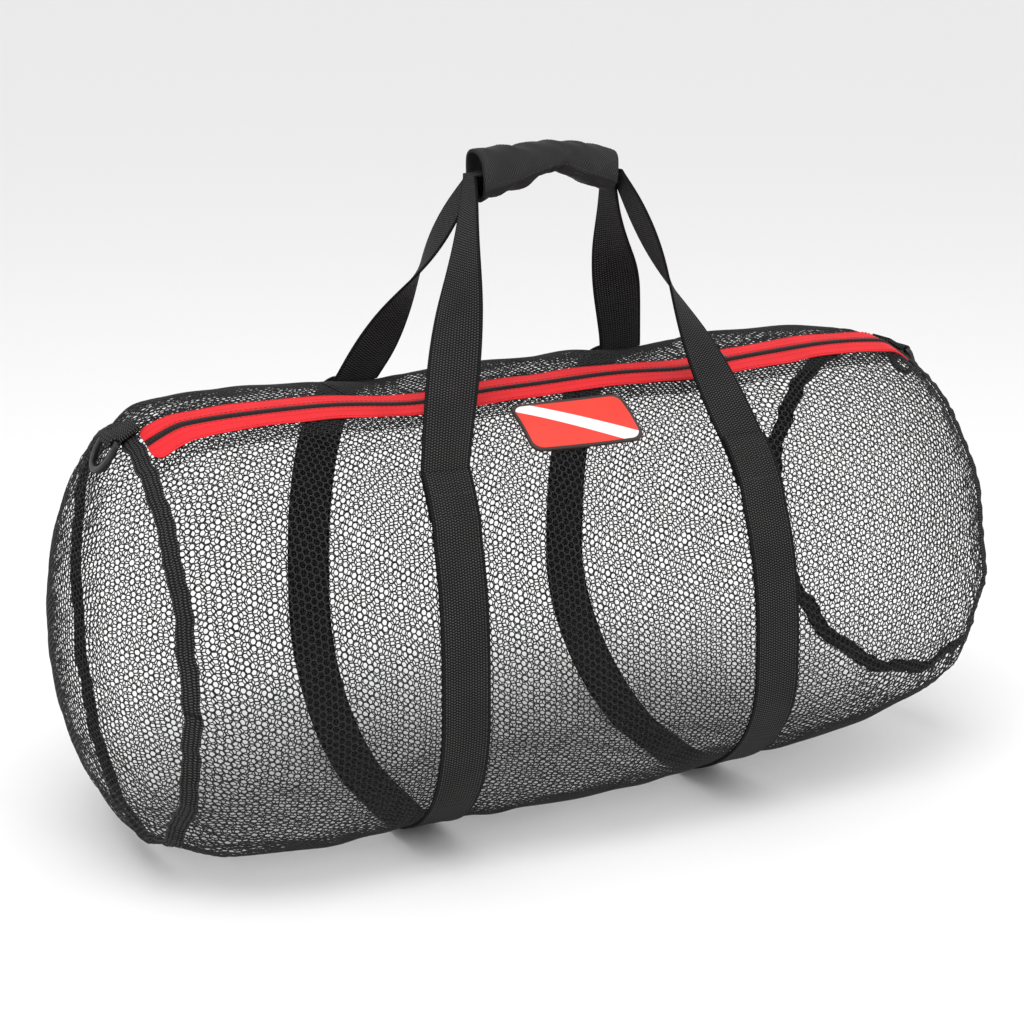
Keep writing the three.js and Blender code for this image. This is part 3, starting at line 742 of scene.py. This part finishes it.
for side, tape_name in ((-1, "front"), (1, "back")):
    near = coil_width / 2 + clearance
    # offset from the zip's middle, lift of the tape's two faces
    outline = (
        (near, 0.75, 1.5),
        (near + 1.2, 0.65, 1.65),
        (near + 4, 0.62, 1.62),
        (near + tape_width * 0.5, 0.62, 1.7),
        (near + tape_width - 3.2, 0.62, 1.55),
        (near + tape_width - 1.5, 0.62, 1.75),
        (near + tape_width - 0.4, 0.62, 1.6),
        (near + tape_width, 0.7, 1.2),
    )
    wave = 0.6 * np.sin(zip_x / 19 + side) + 0.3 * np.sin(zip_x / 7.3)
    from_end = np.minimum((zip_end - np.abs(zip_x)) / round_end, 1)
    full = 0.3 + 0.7 * np.sqrt(1 - (1 - from_end) ** 2)
    around = [(offset, high, 0.3) for offset, _, high in outline]
    around += [(offset, low, 0) for offset, low, _ in outline[::-1]]
    rings = []
    for offset, lift, ripple in around:
        edge = (offset - near) / tape_width
        moved = side * (near + (offset + wave * edge - near) * full)
        lifts = lift + ripple * edge * np.sin(zip_x / 11)
        rings.append(lifted_points(zip_x, zip_line(zip_x, moved), lifts))
    stations = np.stack(rings, 1)
    add_piece(
        f"zip_tape_{tape_name}",
        *skin(stations),
        tape_cloth,
        "zip_tape",
        (f"zip_tape_{tape_name}",),
        lay=lay_of(stations, [row[0] for row in around], zip_x),
        flip=side > 0,
    )
    lines = []
    for offset in (near + 1.6, near + tape_width - 1.6):
        edge = (offset - near) / tape_width
        inner = zip_x[12:-12]
        angle = zip_line(inner, side * (offset + wave[12:-12] * edge))
        line = lifted_points(inner, angle, 1.75 + 0.3 * edge * np.sin(inner / 11))
        lines.append(stitches(line, line - lifted_points(inner, angle, 0.75)))
    add_piece(f"zip_thread_{tape_name}", *joined(lines), red_thread, "zip_tape")

# Zip coil
# Two rows of nylon coil, woven to their tapes and closed into each other, run from seam to seam.
coil_nylon = Finish("coil_nylon", roughness=0.45, specular_ior_level=0.3)
shade = coil_nylon.noise(120, 2)
coil_nylon.vary(base_color=coil_nylon.mixed(shade, (0.003, 0.0015, 0.0015, 1), (0.02, 0.006, 0.006, 1)))
tooth_pitch = 1.9
teeth_x = np.arange(-zip_end + 1, zip_end - 1, tooth_pitch / 2)
section = np.linspace(0, 2 * math.pi, 6, endpoint=False)
# offset, lift and half size of a tooth's wire, from its tape to its head over the middle
tooth_wire = (
    (3.3, 0.5, 0.36),
    (2.9, 1.5, 0.42),
    (1.6, 2.05, 0.44),
    (0.0, 2.15, 0.46),
    (-1.1, 1.9, 0.42),
    (-1.5, 1.1, 0.34),
)
teeth = []
for number, x in enumerate(teeth_x):
    row_side = -1 if number % 2 else 1
    rings = []
    for offset, lift, fat in tooth_wire:
        places_x = x + fat * 1.15 * np.cos(section)
        lifts = lift + fat * np.sin(section)
        rings.append(lifted_points(places_x, zip_line(places_x, row_side * offset), lifts))
    points, faces = skin(rings, "open")
    if row_side < 0:
        faces = [face[::-1] for face in faces]
    last = len(points) - len(section)
    faces += [list(range(6)), list(range(last + 5, last - 1, -1))]
    teeth.append((points, faces))
add_piece("zip_teeth", *joined(teeth), coil_nylon, "zip_coil")
core_outline = (
    (-3.45, 0.25),
    (-3.45, 1.15),
    (-2.2, 1.35),
    (0, 1.3),
    (2.2, 1.35),
    (3.45, 1.15),
    (3.45, 0.25),
)
rings = [lifted_points(zip_x, zip_line(zip_x, offset), lift) for offset, lift in core_outline]
add_piece("zip_core", *skin(np.stack(rings, 1)), coil_nylon, "zip_coil", ("zip_coil",))

# Slider
# A plain cast slider on the closed coil, behind the right leg of the front handle.
slider_x, slider_length, slider_width, slider_height, slider_edge = 138, 15, 11, 6, 0.8
slider_metal = Finish("slider_metal", roughness=0.45, metallic=0.0, base_color=(0.02, 0.02, 0.02, 1))
slider_metal.vary(roughness=0.35 + 0.2 * slider_metal.noise(200, 2))
slider_low = coil_low + coil_height + clearance
rings = []
for share in np.linspace(-1, 1, 21):
    x = slider_x + share * slider_length / 2
    half = slider_width * (1 - 0.3 * abs(share) ** 3) / 2
    high = slider_low + slider_height * (0.72 - 0.22 * share**4)
    ring = (
        (-half, slider_low + slider_edge),
        (-half + slider_edge, slider_low),
        (half - slider_edge, slider_low),
        (half, slider_low + slider_edge),
        (half, high - slider_edge),
        (half - slider_edge, high),
        (-half + slider_edge, high),
        (-half, high - slider_edge),
    )
    offsets, lifts = np.array(ring).T
    rings.append(lifted_points(x, zip_line(x, offsets), lifts))
add_piece("slider", *skin(rings), slider_metal, "zip_coil", ("zip_slider",), smooth=False)

# Straps
# Two lengths of flat charcoal webbing run under the bag and up both sides, and their ends are sewn down
# over the ends of the handles just below the zip.
ring_steps, crease_step, strap_lap = 56, 4, 2
# across, lift of a webbing's section, from its lower face round to its upper one
web_section = (
    (-18.4, 0.0),
    (-12, 0.0),
    (-6, 0.0),
    (0, 0.0),
    (6, 0.0),
    (12, 0.0),
    (18.4, 0.0),
    (18.85, 0.35),
    (19.0, 1.0),
    (18.85, 1.65),
    (18.4, 2.0),
    (16.5, 1.95),
    (12, 2.0),
    (6, 2.0),
    (0, 2.0),
    (-6, 2.0),
    (-12, 2.0),
    (-16.5, 1.95),
    (-18.4, 2.0),
    (-18.85, 1.65),
    (-19.0, 1.0),
    (-18.85, 0.35),
)
web_across = np.array([row[0] for row in web_section])
web_lift = np.array([row[1] for row in web_section])
# places in the section: middle of the lower and of the upper face, and the upper face's two seams
web_under, web_top, web_seams = 3, 14, (11, 17)


def net_angle(x, step):
    """The angle of one step round the net at x, from the zip's front edge to its back edge."""
    front, back = opening_angles(x)
    return front + (back - front) * step / ring_steps


def web_on_net(front_x, step, low):
    """A section of webbing that lies on the net at a step of its rings."""
    x0 = np.array([float(front_x)])
    centre = strap_centre(front_x, net_angle(x0, step))
    x = centre + web_across
    return lifted_points(x, net_angle(x, step), low + web_lift)


def web_lay(stations):
    return lay_of(stations, web_across, run_of(stations[:, web_top]))


strap_thread = Finish("strap_thread", roughness=0.5, specular_ior_level=0.4)
shade = strap_thread.noise(300, 2)
strap_thread.vary(base_color=strap_thread.mixed(shade, (0.006, 0.006, 0.006, 1), (0.05, 0.048, 0.046, 1)))

for strap_name, front_x in strap_places.items():
    steps = np.linspace(crease_step, ring_steps - crease_step, 289)
    rings = []
    for step in steps:
        from_end = min(step, ring_steps - step) - crease_step
        raised = 1 - eased(from_end, strap_lap, strap_lap + 1)
        low = cloth_gap + raised * (cloth_gap + web_thickness)
        rings.append(web_on_net(front_x, step, low))
    stations = np.stack(rings)
    add_piece(
        f"strap_{strap_name}",
        *skin(stations),
        webbing,
        "webbing",
        (f"strap_{strap_name}",),
        lay=web_lay(stations),
        flip=True,
    )
    sewn = stations[2:-2]
    top = sewn[:, web_top]
    ups = (top - sewn[:, web_under]) / web_thickness
    seams = [stitches(sewn[:, edge] + 0.04 * (top - sewn[:, edge]), ups) for edge in web_seams]
    for station in (3, 6, 11, -4, -7, -12):
        row = stations[station]
        line = row[web_seams[0] : web_seams[1] + 1]
        up = (row[web_top] - row[web_under]) / web_thickness
        seams.append(stitches(line, np.broadcast_to(up, line.shape)))
    add_piece(f"strap_seams_{strap_name}", *joined(seams), strap_thread, "webbing")

# Handles
# Two more lengths of the same webbing, front and back. Each rises from both straps and is folded to half
# its width where the grip holds them together.
carry_height = 503
grip_half, grip_x = 57, 5
grip_height, grip_thickness, wrap_thickness = 38, 30, 2
folded_width = web_width / 2
folded_aside = 2
leg_pull, leg_straight = 40, 0.85
mouth_pull, mouth_room = 24, 4
mouth_out, mouth_spread, mouth_down = 0.22, 0.58, 0.8
twist_from, twist_to = 0.1, 0.8
handle_layer = web_thickness / 2 + cloth_gap
# along, top, height, thickness
grip_rows = np.array(
    [
        (-1.0, 0.08, 1.0, 1.0),
        (-0.45, 0.03, 0.8, 0.96),
        (0.15, 0.0, 0.54, 0.95),
        (0.6, 0.04, 0.76, 0.96),
        (1.0, 0.2, 0.82, 1.0),
    ]
)


def grip_at(along):
    top, height, thickness = rows_at(grip_rows, np.array([float(along)]))[:, 0]
    height = height * grip_height
    middle = carry_height - top * grip_height - height / 2
    return grip_x + along * grip_half, middle, height, thickness * grip_thickness


def handle_in_grip(side, along):
    x, middle, _, _ = grip_at(along)
    return np.array([x, side * folded_aside, middle - side * handle_layer])


def crossing(middle, across_way, out_way, width):
    """A section of webbing round its middle point."""
    squeeze = width / web_width
    return middle + np.outer(web_across * squeeze, unit(across_way)) + np.outer(web_lift - 1, unit(out_way))


def handle_leg(side, front_x, end):
    """The sections of a leg, from under its strap's end up to a mouth of the grip."""

    def on_bag(step):
        from_front = crease_step + step
        return web_on_net(front_x, from_front if side < 0 else ring_steps - from_front, cloth_gap)

    crease = on_bag(0).mean(0)
    start = handle_in_grip(side, end)
    start[0] += end * (mouth_room - side * handle_layer)
    straight = unit(start - crease)
    leave = unit(crease - on_bag(1).mean(0))
    leave = unit(leave + (straight - leave) * leg_straight)
    arrive = unit(np.array([end * mouth_out, side * mouth_spread, -mouth_down]))
    p = (crease, crease + leave * leg_pull, start + arrive * mouth_pull, start)
    ends = on_bag(0)
    along_bag = unit(ends[8] - ends[20])
    across_grip = np.array([0.0, -side * end, 0.0])
    rings = [on_bag(step) for step in np.linspace(strap_lap, 0.25, 8)]
    for t in np.linspace(0, 1, 61):
        point = (1 - t) ** 3 * p[0] + 3 * t * (1 - t) ** 2 * p[1] + 3 * t**2 * (1 - t) * p[2] + t**3 * p[3]
        line = unit(
            3 * (1 - t) ** 2 * (p[1] - p[0]) + 6 * t * (1 - t) * (p[2] - p[1]) + 3 * t**2 * (p[3] - p[2])
        )
        across_way = along_bag + (across_grip - along_bag) * eased(t, twist_from, twist_to)
        square = eased(t, 0, 0.35) * (1 - eased(t, 0.75, 1))
        across_way = across_way - line * (across_way @ line) * square
        out_way = -side * np.cross(across_way, line)
        width = web_width + (folded_width - web_width) * eased(t, 0.5, 1)
        rings.append(crossing(point, across_way, out_way, width))
    return rings


for side, handle_name in ((-1, "front"), (1, "back")):
    sideways, upwards = np.array([0.0, side, 0.0]), np.array([0.0, 0.0, 1.0])
    in_grip = [
        crossing(handle_in_grip(side, along), sideways, upwards, folded_width)
        for along in np.linspace(-1, 1, 41)
    ]
    down = handle_leg(side, strap_places["right"], 1)[::-1]
    swap = [
        int(np.argmin(np.abs(web_across + across_value) + 10 * np.abs(web_lift - lift_value)))
        for across_value, lift_value in web_section
    ]
    turned = [ring[swap] for ring in down]
    stations = np.stack(handle_leg(side, strap_places["left"], -1) + in_grip + turned)
    add_piece(
        f"handle_{handle_name}",
        *skin(stations),
        webbing,
        "webbing",
        (f"handle_{handle_name}",),
        lay=web_lay(stations),
        flip=side < 0,
    )

# Grip wrap
# A sleeve of charcoal woven cloth, closed round both handles with hook-and-loop tape. Its two ends stand
# open, and the hand has pressed it up in the middle.
wrap_cloth = Finish("wrap_cloth", roughness=0.7, specular_ior_level=0.22)
across, along, _ = wrap_cloth.lay()
twill = ((along + across * 0.9) * (2 * math.pi / 1.7)).math("SINE") * 0.5 + 0.5
worn = wrap_cloth.noise(24, 5)
wrap_cloth.vary(
    base_color=wrap_cloth.mixed(
        twill * (0.2 + 1.1 * worn), (0.002, 0.002, 0.0022, 1), (0.055, 0.055, 0.057, 1)
    ),
    roughness=0.6 + 0.3 * worn,
)
wrap_cloth.bump(twill * 0.45 + worn * 1.2, 0.0009, 0.9)
wrap_sides, wrap_stations = 160, 101
wrap_angles = np.linspace(0, 2 * math.pi, wrap_sides, endpoint=False)
flap_edge = math.pi + 0.42
flap_lift = 1.1
seam_start = 45


def wrap_ring(along, inset):
    """A ring of the sleeve: the back at angle 0, the top at 90 degrees."""
    x, middle, height, thickness = grip_at(along)
    c, s = np.cos(wrap_angles), np.sin(wrap_angles)
    y = (thickness / 2 - inset) * np.sign(c) * np.abs(c) ** 0.7
    z = (height / 2 - inset) * np.sign(s) * np.abs(s) ** 0.7
    drape = 0.8 * np.sin(along * 7 + 2.1 * c + 1.3 * s) + 0.5 * np.sin(17 * along + 5 * s + 2 * c)
    bunched = 0.9 * np.exp(-(((along - 0.12) / 0.22) ** 2)) * np.sin(along * 44 + 3 * c)
    bunched = bunched * eased(-s, -0.4, 0.9)
    creased = 1 - np.abs(np.sin(along * 9 + 1.7 * c - 0.8 * s)) ** 0.5
    creased = creased + 0.7 * (1 - np.abs(np.sin(along * 5.3 - 2.6 * s + 0.9 * c)) ** 0.5)
    lift = (drape * 0.9 + bunched + 1.6 * creased) * (1 - 0.7 * along**6)
    if inset < 1:
        edge = flap_edge + 0.05 * math.sin(along * 6)
        past_edge = eased(wrap_angles, edge - 0.02, edge + 0.03)
        lift = lift + flap_lift * eased(wrap_angles, 0.9, 2.4) * (1 - past_edge)
    far = np.hypot(y, z)
    slant = 1.4 * s * (1 if along > 0 else -1) * eased(abs(along), 0.8, 1)
    return np.stack([x + slant, y * (1 + lift / far), middle + z * (1 + lift / far)], 1)


outer = np.stack([wrap_ring(along, 0.0) for along in np.linspace(-1, 1, wrap_stations)])
inner = np.stack([wrap_ring(along, wrap_thickness) for along in np.linspace(1, -1, wrap_stations)])
stations = np.concatenate([outer, inner])
girth, lengthways = np.linspace(0, 110, wrap_sides), np.linspace(0, 114, wrap_stations)
lay = lay_of(stations, girth, np.tile(lengthways, 2))
add_piece("wrap", *skin(stations, "joined"), wrap_cloth, "grip_cloth", ("grip_wrap",), lay=lay, flip=True)
seam_place = int((flap_edge - 0.16) / (2 * math.pi) * wrap_sides)
flap = outer[3:-3, seam_place]
seams = [stitches(flap, unit(flap - outer[3:-3].mean(1)))]
for station in (3, -4):
    front = outer[station, seam_start:seam_place]
    seams.append(stitches(front, unit(front - outer[station].mean(0))))
add_piece("wrap_seams", *joined(seams), strap_thread, "grip_cloth")

# Patch
# A moulded rubber badge with a raised rim, red with a white diagonal stripe as on a diver's flag, sewn
# to the net below the zip.
patch_width, patch_height, patch_corner = 92, 47, 8
patch_angle, patch_lift = math.radians(patch_turn), 0.9
rim_width = 2.2

patch_rubber = Finish("patch_rubber", roughness=0.5, specular_ior_level=0.5)
across, along, inward = patch_rubber.lay()
slope = patch_height / patch_width
stripe_line = along + across * slope
stripe = 1 - ((stripe_line.math("ABSOLUTE") - 6.2) * 6).math("MINIMUM", 1.0).math("MAXIMUM", 0.0)
rim_mask = 1 - ((inward - rim_width) * 4).math("MINIMUM", 1.0).math("MAXIMUM", 0.0)
worn = patch_rubber.noise(45, 3)
red = patch_rubber.mixed(worn, (0.66, 0.024, 0.014, 1), (0.8, 0.045, 0.024, 1))
face_colour = patch_rubber.mixed(stripe, red, (0.8, 0.79, 0.77, 1))
patch_rubber.vary(
    base_color=patch_rubber.mixed(rim_mask, face_colour, (0.03, 0.012, 0.01, 1)),
    roughness=0.42 + 0.2 * worn,
)
patch_rubber.bump(patch_rubber.noise(900, 2), 0.0002, 0.4)

rounded = []
for centre_x, centre_y, first_turn in ((1, 1, 0), (-1, 1, 1), (-1, -1, 2), (1, -1, 3)):
    for step in np.linspace(0, 1, 13):
        turn_angle = (first_turn + step) * math.pi / 2
        rounded.append(
            (
                centre_x * (patch_width / 2 - patch_corner) + patch_corner * math.cos(turn_angle),
                centre_y * (patch_height / 2 - patch_corner) + patch_corner * math.sin(turn_angle),
            )
        )
rounded = np.array(rounded)
closed = np.concatenate([rounded, rounded[:1]])
reached = run_of(closed)
even = np.linspace(0, reached[-1], 161)[:-1]
rim_line = np.stack([np.interp(even, reached, closed[:, a]) for a in range(2)], 1)
nearby = form_points(patch_x, patch_angle + 0.05) - form_points(patch_x, patch_angle - 0.05)
angle_per_mm = 0.1 / np.linalg.norm(nearby)
# distance in from the edge and lift, from the back edge over the rim to the middle
profile = (
    (0.3, 0.0),
    (0.0, 0.5),
    (0.0, 2.2),
    (0.35, 2.75),
    (1.1, 2.95),
    (1.9, 2.75),
    (2.3, 2.2),
    (3.2, 2.1),
)
half_patch = np.array([patch_width / 2, patch_height / 2])
flat_inset, flat_lift, flat_mark = 3.2, 2.1, 9.0
shapes = [(rim_line * (1 - inset / half_patch), inset, lift) for inset, lift in profile]
for share in np.linspace(0.9, 0.0, 15):
    shapes.append((rim_line * (1 - flat_inset / half_patch) * share, flat_mark, flat_lift))
rings, lays = [], []
for ring, inset, lift in shapes:
    turns = patch_angle + ring[:, 1] * angle_per_mm
    rings.append(lifted_points(patch_x + ring[:, 0], turns, patch_lift + lift))
    lays.append(np.column_stack([ring, np.full(len(ring), inset)]))
lay = np.stack(lays)
add_piece("patch_badge", *skin(rings, "open"), patch_rubber, "patch_rubber", ("patch",), lay=lay)

# Webbing loops of the D-rings
# A short webbing loop is folded round the bar of each D-ring and sewn into the seam at an end of the zip.
ring_wire, ring_inside, ring_reach, wire_edge = 4.4, 26, 25, 0.9
tab_width, tab_thickness, tab_sewn, tab_reach = 24, 1.5, 9, 12
tab_y, tab_tilt = -10, math.radians(30)
ring_lean = {-1: math.radians(31), 1: math.radians(24)}
eye_radius = math.hypot(ring_wire / 2, ring_wire / 2 - wire_edge) + clearance
hooks = {}
for side, end_name in ((-1, "left"), (1, "right")):
    lift = 3 * cloth_gap + binding_thickness + tab_thickness
    seam_x = side * barrel_half
    sewn = lifted_points(seam_x, angle_at_depth(seam_x, tab_y), lift)
    hook = np.array(
        [sewn[0] + side * tab_reach * math.cos(tab_tilt), tab_y, sewn[2] - tab_reach * math.sin(tab_tilt)]
    )
    hooks[side] = hook
    tongue_way = np.array([-side * math.cos(tab_tilt), 0, math.sin(tab_tilt)])
    tongue_up = np.array([side * math.sin(tab_tilt), 0, math.cos(tab_tilt)])
    outer_radius = eye_radius + tab_thickness
    path = []
    far_end = tab_reach + tab_sewn
    for reach in np.linspace(far_end, outer_radius, 12):
        path.append((reach, tab_thickness / 2 + 0.02))
    mid_radius = eye_radius + tab_thickness / 2
    for turn_angle in np.linspace(0.35, 2 * math.pi - 0.35, 28):
        path.append((mid_radius * math.cos(turn_angle), mid_radius * math.sin(turn_angle)))
    for reach in np.linspace(outer_radius, far_end, 12):
        path.append((reach, -tab_thickness / 2 - 0.02))
    path = np.array(path)
    ways = unit(np.gradient(path, axis=0))
    outs = np.stack([ways[:, 1], -ways[:, 0]], 1)
    rings = []
    half_tab = tab_width / 2
    tab_section = (
        (-half_tab + 0.3, -0.7),
        (half_tab - 0.3, -0.7),
        (half_tab, 0),
        (half_tab - 0.3, 0.7),
        (0, 0.74),
        (-half_tab + 0.3, 0.7),
        (-half_tab, 0),
    )
    for point, out in zip(path, outs):
        ring = []
        for across_value, thick in tab_section:
            at = point - out * thick
            ring.append(hook + tongue_way * at[0] + tongue_up * at[1] + np.array([0, across_value, 0]))
        rings.append(ring)
    stations = np.array(rings)
    add_piece(
        f"ring_loop_{end_name}",
        *skin(stations),
        webbing,
        "webbing",
        (f"dring_tab_{end_name}",),
        lay=lay_of(stations, [row[0] for row in tab_section], run_of(stations[:, 4])),
        flip=side > 0,
    )

# D-rings
# Black moulded plastic rings with a straight bar and a round bow, hanging free from their webbing loops.
ring_plastic = Finish(
    "ring_plastic", roughness=0.35, specular_ior_level=0.45, base_color=(0.004, 0.004, 0.0045, 1)
)
ring_plastic.vary(roughness=0.3 + 0.2 * ring_plastic.noise(60, 3))
ring_plastic.bump(ring_plastic.noise(1500, 2), 0.0001, 0.5)
for side, end_name in ((-1, "left"), (1, "right")):
    outside = ring_inside / 2 + ring_wire
    bow_centre = outside - ring_reach
    middle_radius = ring_inside / 2 + ring_wire / 2
    path = []
    for y in np.linspace(middle_radius - 3, -middle_radius + 3, 12):
        path.append((y, 0.0))
    for turn_angle in np.linspace(math.pi / 2, math.pi, 7)[1:]:
        path.append((-middle_radius + 3 + 3 * math.cos(turn_angle), -3 + 3 * math.sin(turn_angle)))
    for turn_angle in np.linspace(math.pi, 2 * math.pi, 37):
        path.append((middle_radius * math.cos(turn_angle), bow_centre + middle_radius * math.sin(turn_angle)))
    for turn_angle in np.linspace(0, math.pi / 2, 7)[:-1]:
        path.append((middle_radius - 3 + 3 * math.cos(turn_angle), -3 + 3 * math.sin(turn_angle)))
    path = np.array(path)
    ways = unit(np.roll(path, -1, 0) - np.roll(path, 1, 0))
    outs = np.stack([-ways[:, 1], ways[:, 0]], 1)
    half_wire = ring_wire / 2
    wire_section = []
    for corner, (sx, sy) in enumerate(((1, 1), (-1, 1), (-1, -1), (1, -1))):
        for turn_angle in (np.array([0.1, 0.5, 0.9]) + corner) * math.pi / 2:
            wire_section.append(
                (
                    sx * (half_wire - wire_edge) + wire_edge * math.cos(turn_angle),
                    sy * (half_wire - wire_edge) + wire_edge * math.sin(turn_angle),
                )
            )
    lean = -side * ring_lean[side]
    x_way = np.array([math.cos(lean), 0, -math.sin(lean)])
    z_way = np.array([math.sin(lean), 0, math.cos(lean)])
    rings = []
    for point, out in zip(path, outs):
        ring = []
        for outward, thick in wire_section:
            at = point + out * outward
            ring.append(hooks[side] + np.array([0, at[0], 0]) + z_way * at[1] + x_way * thick)
        rings.append(ring)
    add_piece(
        f"ring_{end_name}",
        *skin(rings, "joined"),
        ring_plastic,
        "ring_plastic",
        (f"dring_{end_name}",),
        f"ring_{end_name}",
    )
